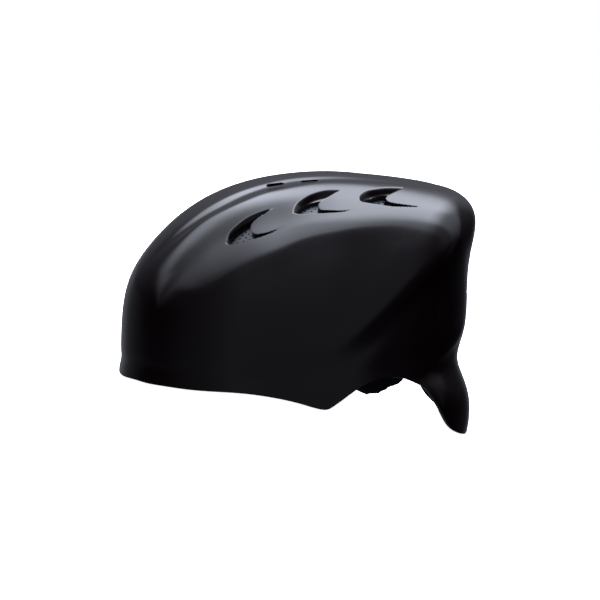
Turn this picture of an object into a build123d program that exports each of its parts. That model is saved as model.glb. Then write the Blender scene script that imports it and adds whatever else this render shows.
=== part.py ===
"""Hard-shell ball-sports helmet without ear flaps or a peak: a vented shell, mesh screens behind
its vents, a foam liner in five blocks and nine comfort pads that touch the head."""
from build123d import *
from math import atan2, cos, hypot, pi, radians, sin
import os

import numpy as np

os.makedirs("parts", exist_ok=True)

# Overall sizes, in millimetres, in the attitude in which the helmet is worn: X to the wearer's
# left, Y to the back of the head, Z up from a datum just under the front rim.
LENGTH = 263.0
WIDTH = 204.0
CROWN_HEIGHT = 153.0
FRONT_RIM = 7.0
TEMPLE_DROP = 6.5
ARCH_HEIGHT = 15.0
GUARD_DROP = 38.0

# Walls and clearances.
WALL = 3.0
FIT = 0.3
SCREEN = 1.0
LINER_SIDE = 10.7
LINER_END = 21.0
LINER_TOP = 17.0
PAD = 8.0
RIM_REVEAL = 4.0
LINER_GROOVE = 6.0

# The shape between them: FULLNESS is the exponent of a cross-section, where 2 is an ellipse.
FULLNESS = 2.4
SHELL_CENTRE = 25.0
HEAD_CENTRE = 40.0
HEAD_BACK = -3.0
CUT_DEPTH = 75.0

# Vents: three swept V windows on each side, two slots on each side of the crown, and one
# crescent at the back.
V_WINDOWS = ((72.0, -52.0, 1.0), (65.0, -1.0, 1.05), (54.0, 48.0, 0.95))
V_LENGTH = 42.0
V_TURN = 12.0
SLOT_X = 28.0
SLOT_Y = (-18.0, 7.0)
SLOT_LENGTH = 13.0
SLOT_WIDTH = 4.5
CRESCENT_HALF = 33.0
CRESCENT_ENDS = 61.0
CRESCENT_LOWER = 66.0
CRESCENT_UPPER = 80.0
SCREEN_LAP = 3.0

# Pads seen from the front: width as a share of half the shell's width, height, height of the
# middle, and whether the pad lies at the front (1) or at the back (-1). Their corners are a share
# of half the shell's width, or of the pad's height where that is less.
END_PADS = {
    "brow_pad": (1.14, 36.0, 28.0, 1),
    "occipital_pad": (0.72, 38.0, 41.0, -1),
    "nape_pad": (0.68, 14.0, 12.5, -1),
}
END_PAD_CORNER = (0.118, 0.4)
TEMPLE_PAD = (0.46, 62.0, 37.0)
TEMPLE_PAD_PLACE = -0.28
SIDE_PAD_CORNER = 0.106
SIDE_PAD_TOP = 62.0
EAR_PAD_LOWER = (
    (0.03, 8.0), (0.24, 4.0), (0.30, -0.5), (0.36, -2.0), (0.42, -0.6), (0.48, 2.4), (0.55, 6.5),
    (0.62, 24.0),
)
EAR_PAD_CORNER = 6.0
CROWN_PAD = (0.32, 0.76)
CROWN_PAD_PLACE = (0.20, 0.05)
CROWN_PAD_CORNER = 0.13

half_length = LENGTH / 2
half_width = WIDTH / 2


# The helmet stands on its front rim and on its nape guard, which tips the worn attitude nose down.
def rest_line():
    """Height of the surface it stands on, as a function of Y in the worn attitude."""
    front, back = (-half_length, FRONT_RIM), (0.93 * half_length, -GUARD_DROP)
    slope = (back[1] - front[1]) / (back[0] - front[0])
    return slope, front[1] - slope * front[0]


REST_SLOPE, REST_LEVEL = rest_line()
TIP = -atan2(REST_SLOPE, 1)

# Centre-plane outline, brow to crown to nape, then closed out of sight below the rim. Y is a
# share of half the length, Z of the crown height above the datum and of the guard drop below it.
PROFILE = (
    (-1.00, 0.08), (-0.992, 0.281), (-0.947, 0.49), (-0.817, 0.667), (-0.593, 0.84),
    (-0.327, 0.948), (-0.015, 0.999), (0.342, 0.997), (0.70, 0.951), (0.92, 0.899),
    (1.00, 0.797), (0.981, 0.66), (0.957, 0.458), (0.939, 0.248), (0.905, 0.105),
    (0.962, -0.18), (0.973, -0.79), (0.684, -2.5), (0.0, -3.16), (-0.722, -2.37),
    (-0.989, -0.66),
)


def smooth_loop(angles, values):
    """Periodic cubic spline through values that are given at rising angles."""
    count = len(angles)
    a, v = np.array(angles), np.array(values)
    step = np.diff(np.append(a, a[0] + 2 * pi))
    matrix, right = np.zeros((count, count)), np.zeros(count)
    for i in range(count):
        before, after = step[i - 1], step[i]
        matrix[i, i - 1] += before
        matrix[i, i] += 2 * (before + after)
        matrix[i, (i + 1) % count] += after
        right[i] = 6 * ((v[(i + 1) % count] - v[i]) / after - (v[i] - v[i - 1]) / before)
    bend = np.linalg.solve(matrix, right)

    def value(angle):
        angle = (angle - a[0]) % (2 * pi) + a[0]
        i = int(np.searchsorted(a, angle, side="right")) - 1
        j, h = (i + 1) % count, step[i]
        t, s = angle - a[i], h - (angle - a[i])
        curve = (bend[i] * s**3 + bend[j] * t**3) / (6 * h)
        return curve + (v[i] / h - bend[i] * h / 6) * s + (v[j] / h - bend[j] * h / 6) * t

    return value


profile = [(y * half_length, z * (CROWN_HEIGHT if z > 0 else GUARD_DROP)) for y, z in PROFILE]
polar = sorted((atan2(z - SHELL_CENTRE, y) % (2 * pi), hypot(y, z - SHELL_CENTRE)) for y, z in profile)
reach = smooth_loop([angle for angle, _ in polar], [radius for _, radius in polar])


def profile_extent():
    """Front and back of the helmet along the surface it stands on, measured from the datum."""
    spots = []
    for k in range(1440):
        angle = 2 * pi * k / 1440
        y, z = reach(angle) * cos(angle), SHELL_CENTRE + reach(angle) * sin(angle)
        if z >= REST_SLOPE * y + REST_LEVEL:
            spots.append(y * cos(TIP) - z * sin(TIP))
    return min(spots), max(spots)


# Working planes. WORN is level with the datum, and tips forward with the standing helmet.
front_end, back_end = profile_extent()
WORN = Plane(
    origin=(0, -(front_end + back_end) / 2, -REST_LEVEL * cos(TIP)),
    x_dir=(1, 0, 0),
    z_dir=(0, -sin(TIP), cos(TIP)),
)
SIDE_VIEW = Plane(origin=WORN.origin, x_dir=WORN.y_dir, z_dir=WORN.x_dir)
FRONT_VIEW = Plane(origin=WORN.origin, x_dir=WORN.x_dir, z_dir=-WORN.y_dir)


def shell_breadth(y, z, inset):
    """How full the shell's form is at a centre-plane point: 1 on its outline, less inside."""
    angle = atan2(z - SHELL_CENTRE, y)
    slope = (reach(angle + 0.001) - reach(angle - 0.001)) / 0.002 / reach(angle)
    return hypot(y, z - SHELL_CENTRE) / (reach(angle) - inset * hypot(1, slope))


def shell_end(z, inset, direction):
    """Y where the outline crosses height z, going forward (-1) or back (+1) from mid length."""
    near, far = 0.15 * half_length, 0.15 * half_length + direction * LENGTH
    for _ in range(40):
        middle = (near + far) / 2
        near, far = (middle, far) if shell_breadth(middle, z, inset) < 1 else (near, middle)
    return near


def shell_level(z, inset):
    """Horizontal section of the shell's form at height z, drawn in by inset from the outside."""
    front, back = shell_end(z, inset, -1), shell_end(z, inset, 1)
    middle, reach_y = (front + back) / 2, (back - front) / 2
    half = half_width - inset
    points = []
    for k in range(32):
        angle = 2 * pi * k / 32
        near, far = 0.0, 1.5
        for _ in range(36):
            share = (near + far) / 2
            x, y = share * half * sin(angle), middle + share * reach_y * cos(angle)
            full = (abs(x) / half) ** FULLNESS + shell_breadth(y, z, inset) ** FULLNESS
            near, far = (share, far) if full < 1 else (near, share)
        points.append((near * half * sin(angle), middle + near * reach_y * cos(angle)))
    return points


def shell_form(inset):
    """Solid of everything within the shell's form, drawn in by inset, down to CUT_DEPTH."""
    top = CROWN_HEIGHT - inset
    heights = [-CUT_DEPTH + k * (top - 13 + CUT_DEPTH) / 18 for k in range(19)]
    heights += [top - drop for drop in (8.5, 5, 2.5, 1, 0.5)]
    with BuildPart() as form:
        for z in heights:
            with BuildSketch(WORN.offset(z)):
                with BuildLine():
                    Spline(*shell_level(z, inset), periodic=True)
                make_face()
        loft()
    return form.part


def head_form(inset):
    """Solid of the hollow that the liner leaves for pads and head, drawn in by inset."""
    half_x = half_width - WALL - FIT - LINER_SIDE - inset
    half_y = half_length - WALL - FIT - LINER_END - inset
    height = CROWN_HEIGHT - WALL - FIT - LINER_TOP - HEAD_CENTRE - inset
    levels = [(-CUT_DEPTH, 1.0), (-CUT_DEPTH / 2, 1.0), (0.0, 1.0), (HEAD_CENTRE / 2, 1.0)]
    for k in range(11):
        turn = radians(8.4 * k)
        levels.append((HEAD_CENTRE + height * sin(turn) ** (2 / FULLNESS), cos(turn) ** (2 / FULLNESS)))
    with BuildPart() as form:
        for z, share in levels:
            points = []
            for k in range(24):
                angle = 2 * pi * k / 24
                power = (abs(sin(angle)) / half_x) ** FULLNESS + (abs(cos(angle)) / half_y) ** FULLNESS
                radius = share * power ** (-1 / FULLNESS)
                points.append((radius * sin(angle), HEAD_BACK + radius * cos(angle)))
            with BuildSketch(WORN.offset(z)):
                with BuildLine():
                    Spline(*points, periodic=True)
                make_face()
        loft()
    return form.part


outside = shell_form(0)
inside = shell_form(WALL)
seat = shell_form(WALL + FIT)
screen_back = shell_form(WALL + FIT + SCREEN)
hollow = head_form(0)
pad_face = head_form(FIT)
pad_back = head_form(FIT + PAD)

# Rim seen from the side: a long front edge, the temple point, the arch over the ear, and the nape
# guard, whose lower edge lies on the surface that the helmet stands on.
with BuildSketch(SIDE_VIEW) as rim:
    with BuildLine():
        edge = Spline(
            (-1.10 * half_length, FRONT_RIM - 1),
            (-half_length, FRONT_RIM),
            (-0.93 * half_length, FRONT_RIM + 1.4),
            (-0.78 * half_length, FRONT_RIM + 0.7),
            (-0.50 * half_length, FRONT_RIM - 0.5),
            (-0.30 * half_length, FRONT_RIM - 1.8),
            (-0.10 * half_length, 0.08 * TEMPLE_DROP),
            (0.035 * half_length, -0.72 * TEMPLE_DROP),
            (0.10 * half_length, -TEMPLE_DROP),
            (0.149 * half_length, -0.58 * TEMPLE_DROP),
            (0.23 * half_length, 0.25 * ARCH_HEIGHT),
            (0.32 * half_length, 0.73 * ARCH_HEIGHT),
            (0.44 * half_length, ARCH_HEIGHT),
            (0.53 * half_length, 0.93 * ARCH_HEIGHT),
            (0.60 * half_length, 0.67 * ARCH_HEIGHT),
            (0.677 * half_length, 0.19 * ARCH_HEIGHT),
            (0.75 * half_length, -0.32 * GUARD_DROP),
            (0.80 * half_length, -0.645 * GUARD_DROP),
            (0.858 * half_length, -0.85 * GUARD_DROP),
            (0.93 * half_length, -GUARD_DROP),
        )
        far = 1.6 * half_length
        Polyline(
            edge @ 1,
            (far, REST_SLOPE * far + REST_LEVEL),
            (far, -3 * CUT_DEPTH),
            (-far, -3 * CUT_DEPTH),
            (-far, edge.start_point().Y),
            edge @ 0,
        )
    make_face()

with BuildSketch(SIDE_VIEW) as liner_rim:
    with Locations((0, RIM_REVEAL)):
        add(rim.sketch_local)

# Window outlines. Each V points forward with its apex outboard; its tongue is left standing.
with BuildSketch(WORN) as windows:
    for apex_x, apex_y, size in V_WINDOWS:
        for side in (1, -1):
            with BuildLine(Location((side * apex_x, apex_y), side * V_TURN)):
                Polyline(
                    (0, 0),
                    (side * -0.29 * size * V_LENGTH, 0.31 * size * V_LENGTH),
                    (side * -0.52 * size * V_LENGTH, 0.83 * size * V_LENGTH),
                    (side * -0.40 * size * V_LENGTH, 0.90 * size * V_LENGTH),
                    (side * -0.14 * size * V_LENGTH, 0.42 * size * V_LENGTH),
                    (side * -0.02 * size * V_LENGTH, size * V_LENGTH),
                    (side * 0.06 * size * V_LENGTH, 0.98 * size * V_LENGTH),
                    close=True,
                )
            make_face()

with BuildSketch(WORN) as slots:
    for slot_y in SLOT_Y:
        with Locations((SLOT_X, slot_y), (-SLOT_X, slot_y)):
            SlotOverall(SLOT_LENGTH, SLOT_WIDTH, rotation=90)

with BuildSketch(FRONT_VIEW) as crescent:
    with BuildLine():
        ThreePointArc((-CRESCENT_HALF, CRESCENT_ENDS), (0, CRESCENT_UPPER), (CRESCENT_HALF, CRESCENT_ENDS))
        ThreePointArc((CRESCENT_HALF, CRESCENT_ENDS), (0, CRESCENT_LOWER), (-CRESCENT_HALF, CRESCENT_ENDS))
    make_face()

with BuildSketch(FRONT_VIEW) as crescent_lap:
    add(crescent.sketch_local)
    offset(amount=SCREEN_LAP)

# Outlines of the screens: a strip under each row of V windows and one under each pair of slots.
with BuildSketch(WORN) as screen_strips:
    for side in (1, -1):
        with BuildLine():
            Polyline(
                (side * 0.76 * half_width, -0.46 * half_length),
                (side * 0.76 * half_width, -0.03 * half_length),
                (side * 0.66 * half_width, 0.36 * half_length),
                (side * 0.53 * half_width, 0.72 * half_length),
                (side * 0.27 * half_width, 0.72 * half_length),
                (side * 0.34 * half_width, 0.30 * half_length),
                (side * 0.46 * half_width, -0.10 * half_length),
                (side * 0.60 * half_width, -0.46 * half_length),
                close=True,
            )
        make_face()

with BuildSketch(WORN) as slot_strips:
    middle = (SLOT_Y[0] + SLOT_Y[1]) / 2
    span = SLOT_Y[1] - SLOT_Y[0] + SLOT_LENGTH
    with Locations((SLOT_X, middle), (-SLOT_X, middle)):
        Rectangle(SLOT_WIDTH + 2 * SCREEN_LAP, span + 2 * SCREEN_LAP)

# Where the liner is open: behind every screen, with a clearance, and in a groove between blocks.
with BuildSketch(WORN) as air_channels:
    add(screen_strips.sketch_local)
    add(slot_strips.sketch_local)
    offset(amount=FIT + 0.5)

with BuildSketch(WORN) as full_grooves:
    with Locations((0, -0.40 * half_length)):
        Rectangle(2 * WIDTH, LINER_GROOVE)
    for side in (1, -1):
        with Locations(Location((side * 0.75 * half_width, 0.78 * half_length), side * 30)):
            Rectangle(0.62 * half_width, LINER_GROOVE)

with BuildSketch(WORN) as crown_groove:
    with Locations((0, 0.50 * half_length)):
        Rectangle(0.8 * half_width, LINER_GROOVE)

tall = 2 * CROWN_HEIGHT

# Shell.
with BuildPart() as outer_shell:
    add(outside)
    add(inside, mode=Mode.SUBTRACT)
    extrude(rim.sketch, amount=WIDTH, both=True, mode=Mode.SUBTRACT)
    extrude(windows.sketch, amount=tall, mode=Mode.SUBTRACT)
    extrude(slots.sketch, amount=tall, mode=Mode.SUBTRACT)
    extrude(crescent.sketch, amount=-LENGTH, mode=Mode.SUBTRACT)

# Screens, all one skin thick and lying just under the shell.
with BuildPart() as screen_skin:
    add(seat)
    add(screen_back, mode=Mode.SUBTRACT)

with BuildPart() as vent_screens:
    add(screen_skin.part)
    extrude(screen_strips.sketch, amount=tall, mode=Mode.INTERSECT)

with BuildPart() as crown_screens:
    add(screen_skin.part)
    extrude(slot_strips.sketch, amount=tall, mode=Mode.INTERSECT)

with BuildPart() as rear_vent_screen:
    add(screen_skin.part)
    extrude(crescent_lap.sketch, amount=-LENGTH, mode=Mode.INTERSECT)

# Liner, cut into five blocks by grooves and air channels.
with BuildPart() as liner:
    add(seat)
    add(hollow, mode=Mode.SUBTRACT)
    extrude(liner_rim.sketch, amount=WIDTH, both=True, mode=Mode.SUBTRACT)
    extrude(air_channels.sketch, amount=tall, mode=Mode.SUBTRACT)
    extrude(full_grooves.sketch, amount=tall, both=True, mode=Mode.SUBTRACT)
    extrude(crown_groove.sketch, amount=tall, mode=Mode.SUBTRACT)
    with BuildSketch(FRONT_VIEW):
        add(crescent_lap.sketch_local)
        offset(amount=FIT + 0.5)
    extrude(amount=-LENGTH, mode=Mode.SUBTRACT)

side_liner_right, *centre_blocks, side_liner_left = liner.part.solids().sort_by(Axis.X)
front_liner, crown_liner, rear_liner = ShapeList(centre_blocks).sort_by(Axis.Y)

# Pads: one curved blanket over the liner's hollow, cut to each pad's outline.
with BuildPart() as blanket:
    add(pad_face)
    add(pad_back, mode=Mode.SUBTRACT)

pads = {}
for name, (share, height, middle, facing) in END_PADS.items():
    with BuildPart() as end_pad:
        add(blanket.part)
        with BuildSketch(FRONT_VIEW):
            with Locations((0, middle)):
                corner = min(END_PAD_CORNER[0] * half_width, END_PAD_CORNER[1] * height)
                RectangleRounded(share * half_width, height, corner)
        extrude(amount=facing * LENGTH, mode=Mode.INTERSECT)
    pads[name] = end_pad

for side, sign in (("left", 1), ("right", -1)):
    with BuildPart() as temple_pad:
        add(blanket.part)
        with BuildSketch(SIDE_VIEW):
            with Locations((TEMPLE_PAD_PLACE * half_length, TEMPLE_PAD[2])):
                RectangleRounded(TEMPLE_PAD[0] * half_length, TEMPLE_PAD[1], SIDE_PAD_CORNER * half_length)
        extrude(amount=sign * WIDTH, mode=Mode.INTERSECT)

    with BuildPart() as ear_pad:
        add(blanket.part)
        with BuildSketch(SIDE_VIEW):
            with BuildLine():
                lower = [(share * half_length, height) for share, height in EAR_PAD_LOWER]
                Polyline((lower[0][0], SIDE_PAD_TOP), *lower, (lower[-1][0], SIDE_PAD_TOP), close=True)
            face = make_face()
            fillet(face.vertices(), EAR_PAD_CORNER)
        extrude(amount=sign * WIDTH, mode=Mode.INTERSECT)

    with BuildPart() as crown_pad:
        add(blanket.part)
        with BuildSketch(WORN):
            with Locations((sign * CROWN_PAD_PLACE[0] * half_width, CROWN_PAD_PLACE[1] * half_length)):
                RectangleRounded(
                    CROWN_PAD[0] * half_width, CROWN_PAD[1] * half_length, CROWN_PAD_CORNER * half_width
                )
        extrude(amount=tall, mode=Mode.INTERSECT)

    pads[f"temple_pad_{side}"] = temple_pad
    pads[f"ear_pad_{side}"] = ear_pad
    pads[f"crown_pad_{side}"] = crown_pad

# Every piece under its own name.
vent_screen_right, vent_screen_left = vent_screens.part.solids().sort_by(Axis.X)
crown_screen_right, crown_screen_left = crown_screens.part.solids().sort_by(Axis.X)
pieces = {
    "outer_shell": outer_shell.part,
    "vent_screen_left": vent_screen_left,
    "vent_screen_right": vent_screen_right,
    "crown_screen_left": crown_screen_left,
    "crown_screen_right": crown_screen_right,
    "rear_vent_screen": rear_vent_screen.part,
    "front_liner": front_liner,
    "crown_liner": crown_liner,
    "side_liner_left": side_liner_left,
    "side_liner_right": side_liner_right,
    "rear_liner": rear_liner,
}
pieces |= {name: pad.part for name, pad in pads.items()}
for name, piece in pieces.items():
    piece.label = name
    export_step(piece, f"parts/{name}.step")
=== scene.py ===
import math

import bmesh
import bpy
import numpy as np
from mathutils import Matrix, Vector
from mathutils.geometry import delaunay_2d_cdt


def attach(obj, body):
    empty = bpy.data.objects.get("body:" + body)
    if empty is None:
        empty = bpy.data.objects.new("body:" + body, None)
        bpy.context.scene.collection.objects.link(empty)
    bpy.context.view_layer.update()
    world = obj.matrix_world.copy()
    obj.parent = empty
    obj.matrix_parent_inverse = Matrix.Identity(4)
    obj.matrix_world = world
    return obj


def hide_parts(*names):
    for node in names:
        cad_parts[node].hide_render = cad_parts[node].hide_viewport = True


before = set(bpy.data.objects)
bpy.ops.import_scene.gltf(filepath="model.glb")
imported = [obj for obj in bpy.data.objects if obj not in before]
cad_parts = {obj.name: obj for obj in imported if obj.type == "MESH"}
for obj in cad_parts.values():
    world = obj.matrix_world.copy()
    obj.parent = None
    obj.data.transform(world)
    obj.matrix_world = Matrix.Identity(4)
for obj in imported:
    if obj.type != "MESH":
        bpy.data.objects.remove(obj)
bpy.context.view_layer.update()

# ---------------------------------------------------------------------------------------------
# Outer shell: one glossy black ABS moulding, 3 mm thick. Two channels and two ridges run over the
# crown, three swept V windows open each side, and the nape guard flares out at the back.
# All sizes are in millimetres in the worn attitude: x to the wearer's left, y back, z up.
# ---------------------------------------------------------------------------------------------
HALF_LENGTH = 131.5
HALF_WIDTH = 102.0
CROWN = 153.0
GUARD = 38.0
FRONT_RIM = 7.0
FULLNESS = 2.4
CENTRE = 25.0
WALL = 3.0

# Centre-plane outline, as shares of half the length, and of the crown's height or the guard's drop.
OUTLINE = (
    (-1.00, 0.08), (-0.992, 0.281), (-0.947, 0.49), (-0.817, 0.667), (-0.593, 0.84),
    (-0.327, 0.948), (-0.015, 0.999), (0.342, 0.997), (0.70, 0.951), (0.92, 0.899),
    (1.00, 0.797), (0.981, 0.66), (0.957, 0.458), (0.939, 0.248), (0.905, 0.105),
    (0.962, -0.18), (0.973, -0.79), (0.684, -2.5), (0.0, -3.16), (-0.722, -2.37),
    (-0.989, -0.66),
)
# Rim seen from the side, as y and z: front edge, temple point, ear arch and guard.
RIM = (
    (-140.0, 6.2), (-131.5, 7.0), (-122.3, 8.4), (-113.5, 8.0), (-102.6, 7.7), (-84.0, 6.9),
    (-65.8, 6.5), (-50.3, 6.1), (-39.5, 5.2), (-26.0, 3.2), (-13.2, 0.5), (-4.0, -2.0), (4.6, -4.7),
    (9.0, -5.9), (13.2, -6.5), (16.8, -5.6), (19.6, -3.8), (24.5, -0.4), (30.2, 3.8), (36.0, 7.6),
    (42.1, 11.0), (49.1, 13.6), (57.9, 15.0), (64.0, 14.8), (69.7, 13.9), (74.4, 12.2), (78.9, 10.0),
    (83.6, 7.4), (89.0, 2.8), (93.4, -3.6), (98.6, -12.2), (105.2, -24.5), (112.8, -32.3),
    (122.3, -38.0),
)


def cubic(knots, values, loop=False):
    """Cubic spline through values at rising knots, as a function of an array; a loop turns by 2 pi."""
    a, v = np.array(knots, float), np.array(values, float)
    n = len(a)
    step = np.diff(np.append(a, a[0] + 2 * math.pi)) if loop else np.append(np.diff(a), 1.0)
    matrix, right = np.eye(n), np.zeros(n)
    for i in range(n) if loop else range(1, n - 1):
        matrix[i] = 0
        before, after, k = step[i - 1], step[i], (i + 1) % n
        matrix[i, i - 1] += before
        matrix[i, i] += 2 * (before + after)
        matrix[i, k] += after
        right[i] = 6 * ((v[k] - v[i]) / after - (v[i] - v[i - 1]) / before)
    bend = np.linalg.solve(matrix, right)

    def value(x):
        x = (np.asarray(x, float) - a[0]) % (2 * math.pi) + a[0] if loop else np.clip(x, a[0], a[-1])
        i = np.clip(np.searchsorted(a, x, side="right") - 1, 0, n - 1 if loop else n - 2)
        k, h = (i + 1) % n, step[i]
        t = x - a[i]
        s = h - t
        curve = (bend[i] * s**3 + bend[k] * t**3) / (6 * h)
        return curve + (v[i] / h - bend[i] * h / 6) * s + (v[k] / h - bend[k] * h / 6) * t

    return value


outline = [(y * HALF_LENGTH, z * (CROWN if z > 0 else GUARD)) for y, z in OUTLINE]
polar = sorted(
    (math.atan2(z - CENTRE, y) % (2 * math.pi), math.hypot(y, z - CENTRE)) for y, z in outline
)
reach = cubic([p[0] for p in polar], [p[1] for p in polar], loop=True)
rim_height = cubic([p[0] for p in RIM], [p[1] for p in RIM])

GUARD_PLACE = 0.93  # where the guard meets the ground, as a share of half the length
REST_SLOPE = -(FRONT_RIM + GUARD) / ((1 + GUARD_PLACE) * HALF_LENGTH)
REST_LEVEL = FRONT_RIM + REST_SLOPE * HALF_LENGTH
TIP = -math.atan(REST_SLOPE)


def worn_to_row(points):
    """Millimetres in the worn attitude to metres in the row frame, where the helmet stands."""
    points = np.asarray(points, float)
    y, z = points[..., 1], points[..., 2]
    tipped_y = y * math.cos(TIP) - z * math.sin(TIP) + WORN_Y
    tipped_z = y * math.sin(TIP) + z * math.cos(TIP) - REST_LEVEL * math.cos(TIP)
    return np.stack([points[..., 0], tipped_y, tipped_z], -1) / 1000


turn = np.linspace(0, 2 * math.pi, 1440, endpoint=False)
side_y, side_z = reach(turn) * np.cos(turn), CENTRE + reach(turn) * np.sin(turn)
above = side_z >= REST_SLOPE * side_y + REST_LEVEL
ends = (side_y * math.cos(TIP) - side_z * math.sin(TIP))[above]
WORN_Y = -(ends.min() + ends.max()) / 2


CHART_STEP = 0.001


def form(chart, inset=0.0):
    """Points of the plain form. chart holds (a, b): the angle from straight up, laid out as a map."""
    a, b = chart[..., 0], chart[..., 1]
    theta = np.hypot(a, b)
    share = np.where(theta > 1e-9, np.sin(theta) / np.maximum(theta, 1e-9), 1.0)
    dx, dy, dz = a * share, b * share, np.cos(theta)
    angle = np.arctan2(dz, dy)
    span = reach(angle)
    slope = (reach(angle + CHART_STEP) - reach(angle - CHART_STEP)) / (2 * CHART_STEP) / span
    span = span - inset * np.hypot(1, slope)
    full = (np.abs(dx) / (HALF_WIDTH - inset)) ** FULLNESS + (np.hypot(dy, dz) / span) ** FULLNESS
    radius = full ** (-1 / FULLNESS)
    return np.stack([radius * dx, radius * dy, CENTRE + radius * dz], -1)


HALVINGS = 40


def plan_chart(x, y):
    """Chart place of the form's upper surface at plan position x, y."""
    x, y = np.broadcast_arrays(np.asarray(x, float), np.asarray(y, float))
    width = np.clip(1 - (np.abs(x) / HALF_WIDTH) ** FULLNESS, 1e-6, 1) ** (1 / FULLNESS)
    low, high = np.zeros(x.shape), np.full(x.shape, 200.0)
    for _ in range(HALVINGS):
        middle = (low + high) / 2
        inside = np.hypot(y, middle) < width * reach(np.arctan2(middle, y))
        low, high = np.where(inside, middle, low), np.where(inside, high, middle)
    theta, phi = np.arctan2(np.hypot(x, y), low), np.arctan2(x, y)
    return np.stack([theta * np.sin(phi), theta * np.cos(phi)], -1)


def blend_in(value, start, end):
    """0 before start, 1 after end, and smooth between."""
    t = np.clip((value - start) / (end - start), 0, 1)
    return t * t * (3 - 2 * t)


# Creases of the crown and side, from the centre outwards: the angle out from straight up in
# degrees at each y, the height of the moulding there, and how softly it turns, in millimetres.
CREASE_Y = (-118, -100, -89, -79, -69, -58, -48, -37, -26, -15, -5, 7, 18, 36, 57, 78, 100, 122)
CREASES = {
    "rib": (24, 22, 20.5, 19, 17.5, 16, 14.5, 13.2, 12, 10.8, 10, 9.8, 9.6, 9.5, 9, 8, 7.5, 7),
    "channel_in": (
        26, 24.5, 23, 21.5, 20, 18.3, 16.5, 15, 13.7,
        12.4, 11.6, 11.4, 11.4, 11.3, 10.8, 10, 9, 9,
    ),
    "channel_out": (
        28, 26.5, 25.5, 24.3, 23, 21.8, 20.4, 18.5, 17.2,
        16.5, 15.6, 14.8, 14.4, 14, 13.2, 12, 11, 11,
    ),
    "ridge_in": (
        33, 32, 30.5, 28, 26, 25.4, 24.6, 23.4, 21.7,
        21, 20.2, 19, 18.4, 18, 16.6, 15, 14, 13,
    ),
    "ridge_out": (
        37, 36, 35, 33, 31.5, 30.5, 29.6, 28.6, 27,
        25.3, 24.4, 23.4, 22.4, 21.4, 19.8, 18, 17, 16,
    ),
    "deck_edge": (
        44, 45, 45, 45, 45, 44.6, 43.6, 43.1, 41.8,
        40.1, 38.7, 37.2, 36.5, 35.0, 33.0, 32.0, 30.2, 29,
    ),
    "bevel_edge": (
        50, 52, 54, 57, 57, 54.6, 52.2, 49.7, 48,
        46.3, 44.3, 42.5, 41.2, 39.2, 37.4, 36.7, 36.4, 36,
    ),
    "wall": (
        56, 58, 60, 63, 63, 60.4, 58, 55.3, 53.6,
        51.8, 49.8, 48, 46.7, 44.7, 42.9, 42.2, 42, 42,
    ),
    "side": (
        64, 66, 69, 73, 73, 71, 69, 66.5, 65,
        63.3, 61.3, 59.5, 58.2, 56.2, 54.4, 53.7, 53.4, 53,
    ),
}
HEIGHTS = {
    "rib": (0, 0.1, 0.2, 0.2, 0.3, 0.3, 0.3, 0.3, 0.3, 0.3, 0.3, 0.3, 0.3, 0.2, 0.2, 0.1, 0, 0),
    "channel_in": (
        0, -0.5, -1.0, -1.3, -1.5, -1.6, -1.6, -1.6, -1.6,
        -1.6, -1.6, -1.6, -1.5, -1.2, -0.6, -0.1, 0, 0,
    ),
    "channel_out": (
        0, -0.4, -0.9, -1.2, -1.3, -1.4, -1.4, -1.4, -1.4,
        -1.4, -1.4, -1.4, -1.2, -0.8, -0.2, 0.3, 0.3, 0,
    ),
    "ridge_in": (
        0, 0.6, 1.3, 2.0, 2.6, 3.2, 3.5, 3.7, 3.7,
        3.7, 3.7, 3.7, 3.7, 3.7, 3.6, 3.3, 2.0, 0,
    ),
    "ridge_out": (
        0, 0.8, 1.3, 1.7, 2.2, 2.8, 3.3, 3.6, 3.7,
        3.7, 3.8, 3.9, 4.1, 4.4, 4.7, 4.4, 3.0, 0,
    ),
    "deck_edge": (
        0, 0.2, 0.6, 1.2, 2.0, 2.8, 3.5, 4.0, 4.3,
        4.5, 4.7, 4.8, 4.9, 5.3, 6.1, 6.4, 4.6, 0,
    ),
    "bevel_edge": (
        0, 0.3, 0.8, 1.4, 2.2, 3.0, 3.6, 3.9, 4.2,
        4.3, 4.4, 4.5, 4.6, 4.9, 5.3, 5.2, 3.3, 0,
    ),
    "wall": (0, 0.1, 0.2, 0.4, 0.7, 1.0, 1.3, 1.5, 1.6, 1.7, 1.8, 1.8, 1.8, 2.0, 2.0, 1.8, 1.0, 0),
    "side": (0, 0, 0, 0, 0, 0, 0, 0, 0, 0, 0, -0.1, -0.2, -0.4, -0.6, -0.6, -0.3, 0),
}
ROUNDINGS = {
    "rib": 3.0, "channel_in": 3.0, "channel_out": 3.0, "ridge_in": 3.5, "ridge_out": 4.5,
    "deck_edge": 2.2, "bevel_edge": 1.8, "wall": 8.0, "side": 14.0,
}
crease_angles = [cubic(CREASE_Y, [math.radians(a) for a in angles]) for angles in CREASES.values()]
crease_heights = [cubic(CREASE_Y, heights) for heights in HEIGHTS.values()]

# Two soft folds on the side, as height at each y, and a shallow waist between them for a strap.
upper_fold = cubic((-40, -9, 25, 62, 100, 119), (22, 32, 43.3, 71, 102, 112))
lower_fold = cubic((60, 79, 90, 99.7, 109, 122), (20, 21.8, 21.9, 27, 33.7, 45))

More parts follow.
